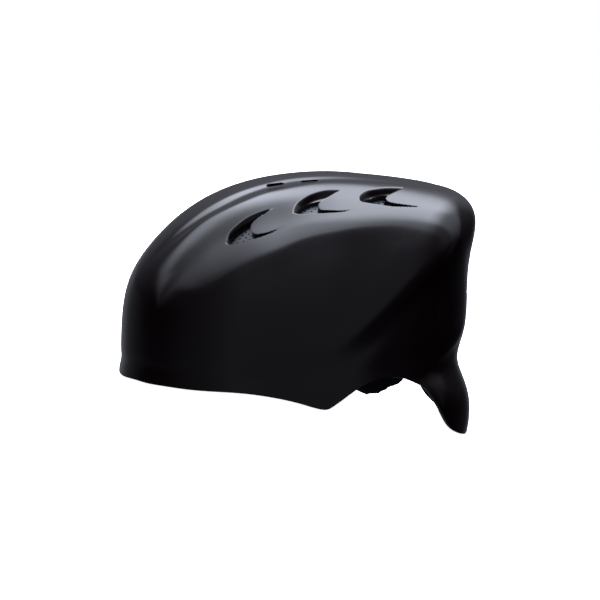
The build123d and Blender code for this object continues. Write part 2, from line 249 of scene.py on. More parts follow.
# Vents: the outer edge of the hollow, the edge of the tongue, the lower edge and the deepest edge,
# each from front or wing end as plan positions x, y.
VENTS = (
    (
        ((73.3, -55.0), (70.8, -53.8), (68.6, -51.2),
         (66.6, -46.0), (64.7, -39.7), (63.5, -31.2), (62.7, -20.7)),
        ((62.7, -20.7), (65.5, -26.5), (67.2, -31.0), (69.4, -35.6), (71.0, -37.2), (72.6, -37.6),
         (74.2, -37.0), (75.6, -35.2), (76.6, -32.5), (77.1, -26.4), (76.9, -20.2), (75.9, -13.9)),
        ((75.9, -13.9), (77.7, -23.5), (78.1, -33.4), (77.6, -38.4), (77.0, -44.7), (76.0, -49.5),
         (75.0, -53.0), (73.3, -55.0)),
        ((73.6, -53.9), (72.0, -53.2), (70.7, -51.2), (69.4, -47.8), (68.4, -44.3), (67.6, -40.7),
         (67.0, -37.2), (66.8, -33.5), (67.2, -31.0)),
    ),
    (
        ((68.9, -7.4), (66.8, -7.0), (64.4, -5.8),
         (62.0, -3.9), (58.9, 0.1), (56.2, 4.6), (54.3, 9.2),
         (52.8, 14.5), (52.2, 19.5), (52.2, 27.7)),
        ((52.2, 27.7), (55.0, 23.8), (57.6, 20.2),
         (60.0, 16.5), (62.0, 13.7), (63.8, 11.6), (65.2, 10.6),
         (66.6, 10.4), (68.0, 11.3), (68.8, 13.0), (69.3, 18.5), (69.3, 27.6), (68.2, 36.8)),
        ((68.2, 36.8), (70.1, 25.4), (70.8, 12.8),
         (70.8, 8.1), (70.7, 3.7), (70.4, -1.7), (69.9, -5.0),
         (68.9, -7.4)),
        ((68.6, -6.1), (66.2, -4.4), (63.2, -0.4),
         (61.2, 3.2), (59.7, 7.1), (58.8, 11.8), (58.9, 14.8),
         (60.0, 16.5)),
    ),
    (
        ((61.2, 39.8), (58.6, 39.8), (55.6, 41.4),
         (51.0, 46.5), (47.2, 54.0), (44.9, 58.8), (43.2, 63.2),
         (41.6, 68.5), (40.4, 74.2)),
        ((40.4, 74.2), (43.4, 71.6), (45.7, 69.4),
         (48.9, 66.2), (51.4, 63.5), (53.6, 61.3), (55.2, 60.0),
         (57.0, 59.0), (58.6, 59.6), (59.6, 61.2), (60.2, 64.9), (60.4, 74.0), (60.2, 84.6)),
        ((60.2, 84.6), (61.9, 72.0), (62.9, 61.8),
         (62.9, 57.0), (62.8, 52.8), (62.6, 47.5), (62.2, 43.0),
         (61.2, 39.8)),
        ((60.8, 42.2), (58.0, 43.9), (55.1, 47.8),
         (51.9, 53.0), (49.6, 57.6), (48.2, 61.6), (47.8, 64.6),
         (48.9, 66.2)),
    ),
)
VENT_DEPTH = 4.6
VENT_SLOPE_WIDTH = 4.6
VENT_REACH = 55.0  # no part of a vent is farther than this from its middle
LOWER_WALL_SLOPE = 3.2
TONGUE_WALL_WIDTH = 0.35
EDGE_ROUNDING = (0.16, 0.7)  # how deep and how wide the vents' edges are rounded
EDGE_STEP = 0.8
TONGUE_TIP = -4  # the corner of the tongue's line where the opening ends, counted from its end
SLOTS = ((28.0, -18.0), (28.0, 7.0))
SLOT_LENGTH = 13.0
SLOT_WIDTH = 4.5


def drawn_through(points, step):
    """A smooth open line through points, with corners about step apart."""
    p = np.array(points, float)
    p = np.vstack([2 * p[0] - p[1], p, 2 * p[-1] - p[-2]])
    line = []
    for a, b, c, d in zip(p, p[1:], p[2:], p[3:]):
        count = max(1, int(np.linalg.norm(c - b) / step + 0.5))
        t = (np.arange(count) / count)[:, None]
        bend, twist = 2 * a - 5 * b + 4 * c - d, 3 * b - a - 3 * c + d
        line.append(0.5 * (2 * b + (c - a) * t + bend * t**2 + twist * t**3))
    return np.vstack(line + [p[-2:-1]])


def on_form(plan, inset=0.0):
    return form(plan_chart(plan[:, 0], plan[:, 1]), inset)


def distance_to(points, line):
    """Shortest distance from each point to an open line of corners."""
    near = np.full(len(points), 1e9)
    for p, q in zip(line, line[1:]):
        s = q - p
        t = np.clip(((points - p) @ s) / max((s @ s), 1e-12), 0, 1)
        near = np.minimum(near, ((points - p - t[:, None] * s) ** 2).sum(-1))
    return np.sqrt(near)


def inside_loop(points, loop):
    """Whether each flat point lies inside a closed outline."""
    x, y = points[:, 0], points[:, 1]
    result = np.zeros(len(points), bool)
    for (x0, y0), (x1, y1) in zip(loop, np.roll(loop, -1, 0)):
        crosses = (y0 > y) != (y1 > y)
        if y0 != y1:
            result ^= crosses & (x < (x1 - x0) * (y - y0) / (y1 - y0) + x0)
    return result


def nearest(line, spot):
    """Number of the line's corner that is nearest to a spot."""
    return int(np.argmin(((line - spot) ** 2).sum(-1)))


vents = []
for lines in VENTS:
    outer_line, tongue, lower, deepest = (drawn_through(line, EDGE_STEP) for line in lines)
    start = nearest(tongue, deepest[-1])
    end = nearest(tongue, lines[1][TONGUE_TIP])
    join = nearest(lower, tongue[end])
    stop = nearest(lower, deepest[0])
    hole = np.vstack([deepest[:-1], tongue[start:end + 1], lower[join:max(stop - 1, join + 1)]])
    vents.append({
        "area": np.vstack([outer_line[:-1], tongue[:-1], lower[:-1]]),
        "hole": hole,
        "outer": on_form(outer_line), "tongue": on_form(tongue), "lower": on_form(lower),
        "middle": on_form(hole).mean(0),
    })


def creases(points):
    """Height of the crown's creases at points of the plain form."""
    x, y, z = np.abs(points[..., 0]), points[..., 1], points[..., 2]
    out = np.arctan2(x, z - CENTRE)
    radius = np.hypot(x, z - CENTRE)
    place = np.clip(y, CREASE_Y[0], CREASE_Y[-1])
    angles = [angle(place) for angle in crease_angles]
    heights = [height(place) for height in crease_heights]
    total = np.zeros(x.shape)
    angles, heights = [np.zeros(x.shape)] + angles, [np.zeros(x.shape)] + heights
    slopes = [(g - f) / (b - a) for a, b, f, g in zip(angles, angles[1:], heights, heights[1:])]
    slopes = [np.zeros(x.shape)] + slopes + [np.zeros(x.shape)]
    for angle, before, after, soft in zip(angles, slopes, slopes[1:], (3.0, *ROUNDINGS.values())):
        t, width = out - angle, soft / radius
        total += (after - before) * (t + np.sqrt(t * t + width * width)) / 2
    return total * (1 - blend_in(y, 112, 128)) * blend_in(y, -120, -104)


def hollow(points):
    """Depth of the vents' hollows at points of the plain form."""
    depth = np.zeros(len(points))
    side = points.copy()
    side[:, 0] = np.abs(side[:, 0])
    for vent in vents:
        near = np.flatnonzero(((side - vent["middle"]) ** 2).sum(-1) < VENT_REACH**2)
        spots = side[near]
        to_outer, to_tongue, to_lower = (
            distance_to(spots, vent[key]) for key in ("outer", "tongue", "lower")
        )
        inside = inside_loop(spots[:, :2], vent["area"])
        share = np.clip(to_outer / VENT_SLOPE_WIDTH, 0, 1)
        fall = VENT_DEPTH * (share * share * (3 - 2 * share) * 0.6 + share * 0.4)
        fall = np.minimum(fall, LOWER_WALL_SLOPE * to_lower)
        fall = fall * np.clip(to_tongue / TONGUE_WALL_WIDTH, 0, 1)
        edge = np.minimum(to_tongue, to_lower)
        rounding = EDGE_ROUNDING[0] * np.clip(1 - edge / EDGE_ROUNDING[1], 0, 1) ** 2
        depth[near] = np.maximum(depth[near], np.where(inside, fall, 0.0) + rounding)
    return depth


def fold(z, line, width):
    """A soft fold of height 1 along a line of heights."""
    return np.exp(-(((z - line) / width) ** 2))


def rim_level(y):
    """Height of the rim: the drawn line, and behind it the surface that the guard stands on."""
    return np.where(y > RIM[-1][0], REST_SLOPE * y + REST_LEVEL, rim_height(y))


UPPER_FOLD = (0.8, 8.0)  # height and half width
WAIST = (0.5, 8.0, 17.0)  # depth, half width and distance below the upper fold
LOWER_FOLD = (1.2, 5.0)
LIP = (1.0, 9.0)  # height and width of the band along the front rim
LIP_GROOVE = (0.5, 4.0, 12.0)  # depth, half width and height above the rim


def relief(points):
    """Height of the whole moulded relief over the plain form."""
    y, z = points[..., 1], points[..., 2]
    height = creases(points) * (1 - blend_in(y, 85, 108) * (1 - blend_in(z, 66, 92)))
    rear, upper = blend_in(y, -30, 20), upper_fold(y)
    height += UPPER_FOLD[0] * rear * fold(z, upper, UPPER_FOLD[1]) * (1 - blend_in(y, 90, 115))
    height -= WAIST[0] * rear * fold(z, upper - WAIST[2], WAIST[1]) * (1 - blend_in(y, 84, 108))
    lower = blend_in(y, 60, 84) * (1 - blend_in(y, 112, 124))
    height += LOWER_FOLD[0] * lower * fold(z, lower_fold(y), LOWER_FOLD[1])
    over_rim = z - rim_level(y)
    lip = LIP[0] * (1 - blend_in(over_rim, 0.0, LIP[1]))
    lip -= LIP_GROOVE[0] * fold(over_rim, LIP_GROOVE[2], LIP_GROOVE[1])
    height += lip * (1 - blend_in(y, -55, -5))
    return height - hollow(points)


def skin(chart):
    """Points of the finished outer face: the plain form raised along its normal by the relief."""
    points = form(chart)
    step = 1e-4
    du = form(chart + np.array([step, 0.0])) - form(chart - np.array([step, 0.0]))
    dv = form(chart + np.array([0.0, step])) - form(chart - np.array([0.0, step]))
    normal = np.cross(dv, du)
    normal /= np.linalg.norm(normal, axis=-1, keepdims=True)
    outward = np.sign(np.sum(normal * (points - np.array([0, 0, CENTRE])), -1, keepdims=True))
    return points + normal * outward * relief(points)[..., None]


RIM_ROUNDING = 0.8


def rim_chart(count, lift=0.0):
    """Chart outline of the rim, by azimuth, with count corners."""
    phi = np.linspace(0, 2 * math.pi, count, endpoint=False)
    low, high = np.full(count, 1.0), np.full(count, 2.25)
    for _ in range(HALVINGS):
        middle = (low + high) / 2
        points = form(np.stack([middle * np.sin(phi), middle * np.cos(phi)], -1))
        over = points[:, 2] > rim_level(points[:, 1]) + lift
        low, high = np.where(over, middle, low), np.where(over, high, middle)
    return np.stack([low * np.sin(phi), low * np.cos(phi)], -1)


def back_chart(x, z):
    """Chart place of the form's rear face at height z and width x."""
    low, high = np.zeros(len(x)), np.full(len(x), 200.0)
    for _ in range(HALVINGS):
        y = (low + high) / 2
        dz = z - CENTRE
        around = np.hypot(y, dz) / reach(np.arctan2(dz, y))
        full = (np.abs(x) / HALF_WIDTH) ** FULLNESS + around**FULLNESS
        low, high = np.where(full < 1, y, low), np.where(full < 1, high, y)
    theta, phi = np.arctan2(np.hypot(x, low), z - CENTRE), np.arctan2(x, low)
    return np.stack([theta * np.sin(phi), theta * np.cos(phi)], -1)


def arc_through(a, b, c, count):
    """Points of the circular arc from a over b to c."""
    (ax, ay), (bx, by), (cx, cy) = a, b, c
    d = 2 * (ax * (by - cy) + bx * (cy - ay) + cx * (ay - by))
    ux = ((ax**2 + ay**2) * (by - cy) + (bx**2 + by**2) * (cy - ay) + (cx**2 + cy**2) * (ay - by)) / d
    uy = ((ax**2 + ay**2) * (cx - bx) + (bx**2 + by**2) * (ax - cx) + (cx**2 + cy**2) * (bx - ax)) / d
    turns = np.unwrap([math.atan2(q[1] - uy, q[0] - ux) for q in (a, b, c)])
    t = np.linspace(turns[0], turns[2], count)
    radius = math.hypot(ax - ux, ay - uy)
    return np.stack([ux + radius * np.cos(t), uy + radius * np.sin(t)], -1)


def stadium(x, y, length, width, count):
    """Outline of a slot that lies along y."""
    t = np.linspace(0, 2 * math.pi, count, endpoint=False)
    r = width / 2
    return np.stack([x + r * np.cos(t), y + r * np.sin(t) + np.sign(np.sin(t)) * (length / 2 - r)], -1)


def grid_in(loops, step, wanted):
    """Grid points inside the first loop, clear of every loop, where wanted(points) is true."""
    low, high = loops[0].min(0), loops[0].max(0)
    across, up = np.arange(low[0], high[0], step), np.arange(low[1], high[1], step * 0.866)
    grid_a, grid_b = np.meshgrid(across, up)
    grid_a = grid_a + (np.arange(len(up)) % 2)[:, None] * step / 2
    grid = np.stack([grid_a.ravel(), grid_b.ravel()], -1)
    grid = grid[inside_loop(grid, loops[0])]
    grid = grid[wanted(grid)]
    for loop in loops:
        box_low, box_high = loop.min(0) - step, loop.max(0) + step
        near = np.flatnonzero(((grid > box_low) & (grid < box_high)).all(-1))
        closed = np.vstack([loop, loop[:1]])
        clear = np.ones(len(grid), bool)
        clear[near] = distance_to(grid[near], closed) > 0.45 * step
        if loop is not loops[0]:
            clear[near] &= ~inside_loop(grid[near], loop)
        grid = grid[clear]
    return grid


def chart_mesh(loops, grids):
    """Triangles that fill the first loop with the grids' points and leave out the other loops."""
    edges, start = [], 0
    for loop in loops:
        edges += [(start + k, start + (k + 1) % len(loop)) for k in range(len(loop))]
        start += len(loop)
    cloud = np.concatenate(list(loops) + list(grids))
    verts, _, faces, _, _, _ = delaunay_2d_cdt([Vector(p) for p in cloud], edges, [], 0, 1e-9)
    verts, faces = np.array([tuple(v) for v in verts]), np.array(faces)
    middle = verts[faces].mean(1)
    keep = inside_loop(middle, loops[0])
    for loop in loops[1:]:
        keep &= ~inside_loop(middle, loop)
    return verts, faces[keep]


BESIDE_VENT = 1.6


def near_vents(chart):
    """Whether chart places lie in a vent's hollow or right beside it."""
    spots = form(chart)
    spots[:, 0] = np.abs(spots[:, 0])
    close = np.zeros(len(spots), bool)
    for vent in vents:
        near = np.flatnonzero(((spots - vent["middle"]) ** 2).sum(-1) < VENT_REACH**2)
        lines = (vent[key] for key in ("tongue", "lower", "outer"))
        edge = np.min([distance_to(spots[near], line) for line in lines], axis=0)
        close[near] |= (edge < BESIDE_VENT) | inside_loop(spots[near][:, :2], vent["area"])
    return close


def on_deck(chart):
    """Whether chart places lie on the creased upper part."""
    place = form(chart)
    return (place[:, 2] > 84) & (np.abs(place[:, 0]) < 90)


def mesh_object(name, points, faces):
    """A smooth mesh piece at the origin, from worn-attitude millimetres."""
    mesh = bpy.data.meshes.new(name)
    mesh.from_pydata(worn_to_row(points).tolist(), [], [tuple(int(i) for i in f) for f in faces])
    mesh.update()
    mesh.shade_smooth()
    piece = bpy.data.objects.new(name, mesh)
    bpy.context.collection.objects.link(piece)
    return piece


def linear(colour):
    """sRGB hex to the linear numbers that a shader takes."""
    channels = [int(colour[i:i + 2], 16) / 255 for i in (1, 3, 5)]
    return tuple(c / 12.92 if c <= 0.04045 else ((c + 0.055) / 1.055) ** 2.4 for c in channels) + (1.0,)


def add_node(tree, kind, settings=None, **sockets):
    """Adds a node with its settings. Socket values and links go by socket name, or by number as s0."""
    node = tree.nodes.new(kind)
    for key, value in (settings or {}).items():
        setattr(node, key, value)
    for key, value in sockets.items():
        numbered = key[0] == "s" and key[1:].isdigit()
        socket = node.inputs[int(key[1:]) if numbered else key.replace("_", " ")]
        if isinstance(value, bpy.types.NodeSocket):
            tree.links.new(value, socket)
        else:
            socket.default_value = value
    return node


def new_material(name):
    """An empty material with its output node; returns the material, its tree and the output."""
    material = bpy.data.materials.new(name)
    material.use_nodes = True
    material.node_tree.nodes.clear()
    return material, material.node_tree, add_node(material.node_tree, "ShaderNodeOutputMaterial")


# Injection-moulded ABS, polished: near black, a tight gloss with a faint waviness of the skin.
shell_material, tree, output = new_material("moulded_black_abs")
coords = add_node(tree, "ShaderNodeTexCoord").outputs["Object"]
waves = add_node(tree, "ShaderNodeTexNoise", Vector=coords, Scale=160.0, Detail=2.0)
bump = add_node(tree, "ShaderNodeBump", Strength=0.02, Distance=0.001, Height=waves.outputs[0])
haze = add_node(tree, "ShaderNodeTexNoise", Vector=coords, Scale=35.0, Detail=3.0)
gloss = add_node(tree, "ShaderNodeMapRange", Value=haze.outputs[0], To_Min=0.10, To_Max=0.15)
shader = add_node(
    tree, "ShaderNodeBsdfPrincipled", Base_Color=linear("#0a0406"), IOR=1.5,
    Roughness=gloss.outputs[0], Normal=bump.outputs[0],
)
tree.links.new(shader.outputs["BSDF"], output.inputs["Surface"])

RIM_CORNERS = 520
SLOT_CORNERS = 28
CRESCENT_ENDS = (33.0, 61.0)  # x and z of the rear vent's ends
CRESCENT_TOP = 80.0
CRESCENT_SAG = 66.0
FINE_GRID, MIDDLING_GRID, COARSE_GRID, INNER_GRID = 0.0048, 0.0130, 0.0235, 0.034
SHARP_EDGE = 38

rim_loop = rim_chart(RIM_CORNERS, RIM_ROUNDING)
vent_loops = []
for vent in vents:
    flat_loop = plan_chart(vent["hole"][:, 0], vent["hole"][:, 1])
    vent_loops += [flat_loop, flat_loop * np.array([-1, 1])]
slot_loops = []
for slot_x, slot_y in SLOTS:
    outline_xy = stadium(slot_x, slot_y, SLOT_LENGTH, SLOT_WIDTH, SLOT_CORNERS)
    flat_loop = plan_chart(outline_xy[:, 0], outline_xy[:, 1])
    slot_loops += [flat_loop, flat_loop * np.array([-1, 1])]
end_x, end_z = CRESCENT_ENDS
over = arc_through((-end_x, end_z), (0.0, CRESCENT_TOP), (end_x, end_z), 41)
under = arc_through((end_x, end_z), (0.0, CRESCENT_SAG), (-end_x, end_z), 37)
crescent_xz = np.vstack([over[:-1], under[:-1]])
crescent_loop = back_chart(crescent_xz[:, 0], crescent_xz[:, 1])
loops = [rim_loop] + vent_loops + slot_loops + [crescent_loop]

fine = grid_in(loops, FINE_GRID, near_vents)
middling = grid_in(loops, MIDDLING_GRID, lambda c: on_deck(c) & ~near_vents(c))
coarse = grid_in(loops, COARSE_GRID, lambda c: ~on_deck(c))
outer_chart, outer_faces = chart_mesh(loops, [fine, middling, coarse])
inner_grid = grid_in(loops, INNER_GRID, lambda c: np.ones(len(c), bool))
inner_chart, inner_faces = chart_mesh(loops, [inner_grid])

# The outer face, the inner face, and walls between them round the rim and every opening.
outer_points, inner_points = skin(outer_chart), form(inner_chart, WALL)
points = [outer_points, inner_points]
faces = [tuple(f) for f in outer_faces] + [tuple(f[::-1] + len(outer_points)) for f in inner_faces]
count, start = len(outer_points) + len(inner_points), 0
for number, loop in enumerate(loops):
    n = len(loop)
    outer_ring = np.arange(start, start + n)
    inner_ring = np.arange(start, start + n) + len(outer_points)
    top, bottom = outer_points[start:start + n], inner_points[start:start + n]
    rings = [outer_ring]
    for share in (0.12, 0.3, 0.5, 0.7, 0.88) if number == 0 else (0.5,):
        ring = top * (1 - share) + bottom * share
        if number == 0:
            ring = ring - np.array([0, 0, RIM_ROUNDING * math.sqrt(1 - (2 * share - 1) ** 2)])
        points.append(ring)
        rings.append(np.arange(count, count + n))
        count += n
    rings.append(inner_ring)
    for a, b in zip(rings, rings[1:]):
        for k in range(n):
            m = (k + 1) % n
            faces.append((a[k], a[m], b[m], b[k]))
    start += n
helmet_shell = mesh_object("helmet_shell", np.vstack(points), faces)
outward = bmesh.new()
outward.from_mesh(helmet_shell.data)
bmesh.ops.recalc_face_normals(outward, faces=outward.faces)
outward.to_mesh(helmet_shell.data)
outward.free()
helmet_shell.data.shade_smooth()
helmet_shell.data.set_sharp_from_angle(angle=math.radians(SHARP_EDGE))
helmet_shell.data.materials.append(shell_material)
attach(helmet_shell, "root")
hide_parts("outer_shell")

# ---------------------------------------------------------------------------------------------
# Vent screens: thin dark grey polypropylene sheet, punched with 1.3 mm holes, cut to shape and
# bonded to the shell's inner face behind the vents, the two pairs of slots and the rear crescent.
# ---------------------------------------------------------------------------------------------
SCREEN_INSET = 3.4
SCREEN_THICK = 0.85
HOLE_PITCH = 3.4
HOLE_WIDTH = 1.3
CHART_MM = 118.0  # millimetres on the form for one unit of chart


def cut_sheet(name, outline_chart, turn_degrees):
    """A perforated sheet: its holes are punched flat, and it is then bent to lie under the shell."""
    outline_mm = outline_chart * CHART_MM
    n = len(outline_mm)
    flat_mesh = bpy.data.meshes.new(name + "_flat")
    corners = [(x, y, z) for z in (0.0, SCREEN_THICK) for x, y in outline_mm.tolist()]
    sides = [(k, (k + 1) % n, (k + 1) % n + n, k + n) for k in range(n)]
    following = np.roll(outline_mm, -1, 0)
    area = (outline_mm[:, 0] * following[:, 1] - following[:, 0] * outline_mm[:, 1]).sum() / 2
    rings = [tuple(range(n))[::-1], tuple(range(n, 2 * n))]
    sheet_faces = sides + rings
    if area < 0:
        sheet_faces = [face[::-1] for face in sheet_faces]
    flat_mesh.from_pydata(corners, [], sheet_faces)
    sheet_object = bpy.data.objects.new(name + "_flat", flat_mesh)
    bpy.context.collection.objects.link(sheet_object)
    low, high = outline_mm.min(0), outline_mm.max(0)
    reach_mm = float(np.linalg.norm(high - low))
    settings = {
        "Span": reach_mm, "Count": int(reach_mm / HOLE_PITCH) + 1, "Hole width": HOLE_WIDTH,
        "Turn": math.radians(turn_degrees), "Centre": (*((low + high) / 2).tolist(), SCREEN_THICK / 2),
    }
    punch = sheet_object.modifiers.new("punch", "NODES")
    punch.node_group = punch_tree
    for item in punch_tree.interface.items_tree:
        if item.in_out == "INPUT" and item.name in settings:
            punch[item.identifier] = settings[item.name]
    bpy.context.view_layer.update()
    evaluated = sheet_object.evaluated_get(bpy.context.evaluated_depsgraph_get())
    punched = bpy.data.meshes.new_from_object(evaluated)
    sheet_object.modifiers.remove(punch)
    bpy.data.objects.remove(sheet_object)
    spots = np.array([v.co[:] for v in punched.vertices])
    polygons = [tuple(p.vertices) for p in punched.polygons]
    chart = spots[:, :2] / CHART_MM
    back_face, front_face = form(chart, SCREEN_INSET + SCREEN_THICK), form(chart, SCREEN_INSET)
    share = (spots[:, 2:] / SCREEN_THICK).clip(0, 1)
    bent = back_face * (1 - share) + front_face * share
    bpy.data.meshes.remove(punched)
    return bent, polygons


punch_tree = bpy.data.node_groups.new("punched_sheet", "GeometryNodeTree")
for label, kind in (
    ("Geometry", "Geometry"), ("Span", "Float"), ("Count", "Int"), ("Hole width", "Float"),
    ("Turn", "Float"), ("Centre", "Vector"), ("Finish", "Material"),
):
    punch_tree.interface.new_socket(label, in_out="INPUT", socket_type="NodeSocket" + kind)
punch_tree.interface.new_socket("Geometry", in_out="OUTPUT", socket_type="NodeSocketGeometry")
given = add_node(punch_tree, "NodeGroupInput").outputs
grid = add_node(punch_tree, "GeometryNodeMeshGrid", Size_X=given["Span"], Size_Y=given["Span"],
                Vertices_X=given["Count"], Vertices_Y=given["Count"])
turn_vector = add_node(punch_tree, "ShaderNodeCombineXYZ", Z=given["Turn"])
placed = add_node(punch_tree, "GeometryNodeTransform", Geometry=grid.outputs["Mesh"],
                  Translation=given["Centre"], Rotation=turn_vector.outputs[0])
half_hole = add_node(
    punch_tree, "ShaderNodeMath", {"operation": "MULTIPLY"}, s0=given["Hole width"], s1=0.5,
)
pin = add_node(
    punch_tree, "GeometryNodeMeshCylinder", Vertices=8, Radius=half_hole.outputs[0], Depth=4.0,
)
pins = add_node(
    punch_tree, "GeometryNodeInstanceOnPoints", Points=placed.outputs[0], Instance=pin.outputs["Mesh"],
)
pins_mesh = add_node(punch_tree, "GeometryNodeRealizeInstances", Geometry=pins.outputs[0])
cut = add_node(punch_tree, "GeometryNodeMeshBoolean", {"operation": "DIFFERENCE", "solver": "EXACT"})
punch_tree.links.new(given["Geometry"], cut.inputs["Mesh 1"])
punch_tree.links.new(pins_mesh.outputs[0], cut.inputs["Mesh 2"])
triangles = add_node(punch_tree, "GeometryNodeTriangulate", Mesh=cut.outputs["Mesh"])
whole = add_node(punch_tree, "GeometryNodeRealizeInstances", Geometry=triangles.outputs[0])
finished = add_node(
    punch_tree, "GeometryNodeSetMaterial", Geometry=whole.outputs[0], Material=given["Finish"],
)
add_node(punch_tree, "NodeGroupOutput", Geometry=finished.outputs[0])

# Perforated polypropylene: satin dark grey with a fine moulded grain.
screen_material, tree, output = new_material("satin_polypropylene")
coords = add_node(tree, "ShaderNodeTexCoord").outputs["Object"]
grain = add_node(tree, "ShaderNodeTexNoise", Vector=coords, Scale=1400.0, Detail=2.0)
bump = add_node(tree, "ShaderNodeBump", Strength=0.25, Distance=0.0002, Height=grain.outputs[0])
tone = add_node(
    tree, "ShaderNodeMix", {"data_type": "RGBA"}, s0=grain.outputs[0],
    s6=linear("#2c2e31"), s7=linear("#3a3c40"),
)
shader = add_node(
    tree, "ShaderNodeBsdfPrincipled", Base_Color=tone.outputs[2], Roughness=0.42, IOR=1.49,
    Normal=bump.outputs[0],
)
tree.links.new(shader.outputs["BSDF"], output.inputs["Surface"])


OUTLINE_STEP = 3.0


def plan_outline(points):
    """Chart outline of a closed plan shape, with corners about a step apart."""
    spots = []
    for (px, py), (qx, qy) in zip(points, points[1:] + points[:1]):
        count = max(1, int(math.dist((px, py), (qx, qy)) / OUTLINE_STEP))
        spots += [(px + (qx - px) * k / count, py + (qy - py) * k / count) for k in range(count)]
    spots = np.array(spots)
    return plan_chart(spots[:, 0], spots[:, 1])


# Plan outlines of the strip behind the V windows and of the patch behind the slots, and the
# rear screen, which laps the crescent by about 3 mm.
strip = [
    (78.1, -60.2), (78.1, -4.0), (67.8, 47.2), (53.8, 94.4),
    (27.8, 94.4), (35.0, 39.6), (47.2, -13.0), (61.4, -60.2),
]
slot_patch = [(23.0, -27.2), (33.0, -27.2), (33.0, 16.2), (23.0, 16.2)]
lap_over = arc_through((-35.6, 60.4), (0.0, 82.7), (35.6, 60.4), 33)
lap_under = arc_through((34.2, 58.5), (0.0, 63.3), (-34.2, 58.5), 31)
lap = np.vstack([lap_over, lap_under])
for name, outline_chart, turn_degrees in (
    ("vent_screen", plan_outline(strip), 38.0), ("crown_screen", plan_outline(slot_patch), 0.0),
    ("rear_vent_screen", back_chart(lap[:, 0], lap[:, 1]), 45.0),
):
    bent, polygons = cut_sheet(name, outline_chart, turn_degrees)
    for suffix, sign in (("_left", 1), ("_right", -1)) if name != "rear_vent_screen" else (("", 1),):
        mirrored = bent * np.array([sign, 1, 1])
        sheet = mesh_object("perforated_" + name + suffix, mirrored, [p[::sign] for p in polygons])
        sheet.data.shade_flat()
        sheet.data.materials.append(screen_material)
        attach(sheet, "root")
        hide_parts(name + suffix)

# ---------------------------------------------------------------------------------------------
# Liner: five blocks of moulded expanded-bead foam, dark grey, pressed into the shell. The surface
# shows the flattened beads, about 3 mm across, with fine seams between them.
# ---------------------------------------------------------------------------------------------
foam_material, tree, output = new_material("expanded_bead_foam")
coords = add_node(tree, "ShaderNodeTexCoord").outputs["Object"]
BEADS_PER_METRE = 330.0
beads = add_node(tree, "ShaderNodeTexVoronoi", Vector=coords, Scale=BEADS_PER_METRE)
seams = add_node(
    tree, "ShaderNodeTexVoronoi", {"feature": "DISTANCE_TO_EDGE"}, Vector=coords, Scale=BEADS_PER_METRE,
)
edge = add_node(tree, "ShaderNodeMapRange", Value=seams.outputs[0], From_Max=0.12)
shade = add_node(
    tree, "ShaderNodeMix", {"data_type": "RGBA"}, s0=edge.outputs[0],
    s6=linear("#161618"), s7=linear("#2b2b2e"),
)
speckle = add_node(tree, "ShaderNodeSeparateColor", Color=beads.outputs["Color"])
grey = add_node(
    tree, "ShaderNodeMix", {"data_type": "RGBA"}, s0=speckle.outputs[0],
    s6=shade.outputs[2], s7=linear("#323236"),
)
bump = add_node(tree, "ShaderNodeBump", Strength=0.5, Distance=0.0004, Height=edge.outputs[0])
shader = add_node(
    tree, "ShaderNodeBsdfPrincipled", Base_Color=grey.outputs[2], Roughness=0.72,
    Specular_IOR_Level=0.35, Normal=bump.outputs[0],
)
tree.links.new(shader.outputs["BSDF"], output.inputs["Surface"])
for name in ("front_liner", "crown_liner", "side_liner_left", "side_liner_right", "rear_liner"):
    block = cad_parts[name]
    for number in range(max(1, len(block.material_slots))):
        if block.material_slots:
            block.material_slots[number].material = foam_material
        else:
            block.data.materials.append(foam_material)

# ---------------------------------------------------------------------------------------------
# Comfort pads: soft foam in a brushed blue-black knit, sewn round the edge and quilted once or
# twice across, and held to the liner by their backs. Left and right pads mirror each other.
# ---------------------------------------------------------------------------------------------
PAD_VOXEL = 0.0028
PAD_SHRINK = 0.0009
PAD_SWELL_OUT = 0.0004
PAD_SWELL_IN = 0.0022
PAD_STEPS = 20
STITCH_WIDTH = 0.0018
STITCH_DEPTH = 0.0013
SEAM_SPREAD = 0.28
SEAM_SHARE = 0.35
HEAD_MIDDLE = (0.0, -3.0, 45.0)
# For each pad: the axis that its quilting lines cross, and their places as shares of its size.
QUILTING = {
    "brow_pad": (0, (0.25, 0.5, 0.75)),
    "occipital_pad": (0, (0.33, 0.67)),
    "nape_pad": (0, (0.33, 0.67)),
    "temple_pad_left": (2, (0.36, 0.68)),
    "ear_pad_left": (2, (0.36, 0.68)),
    "crown_pad_left": (1, (0.25, 0.5, 0.75)),
}

# Brushed knit: fine ribs about 1 mm apart under a soft nap, with a sheen at grazing angles.
knit_material, tree, output = new_material("brushed_polyester_knit")
coords = add_node(tree, "ShaderNodeTexCoord").outputs["Object"]
ribs = add_node(
    tree, "ShaderNodeTexWave", {"bands_direction": "DIAGONAL"}, Vector=coords, Scale=300.0,
    Distortion=1.5, Detail=2.0, Detail_Scale=3.0,
)
nap = add_node(tree, "ShaderNodeTexNoise", Vector=coords, Scale=900.0, Detail=4.0)
height = add_node(
    tree, "ShaderNodeMix", {"data_type": "FLOAT"}, s0=0.5, s2=ribs.outputs[1], s3=nap.outputs[0],
)
bump = add_node(tree, "ShaderNodeBump", Strength=0.55, Distance=0.0004, Height=height.outputs[0])
patches = add_node(tree, "ShaderNodeTexNoise", Vector=coords, Scale=60.0, Detail=2.0)
tone = add_node(
    tree, "ShaderNodeMix", {"data_type": "RGBA"}, s0=patches.outputs[0],
    s6=linear("#0b0d14"), s7=linear("#171b26"),
)
shader = add_node(
    tree, "ShaderNodeBsdfPrincipled", Base_Color=tone.outputs[2], Roughness=0.9, Specular_IOR_Level=0.25,
    Sheen_Weight=0.35, Sheen_Roughness=0.45, Sheen_Tint=linear("#8890a8"), Normal=bump.outputs[0],
)
tree.links.new(shader.outputs["BSDF"], output.inputs["Surface"])


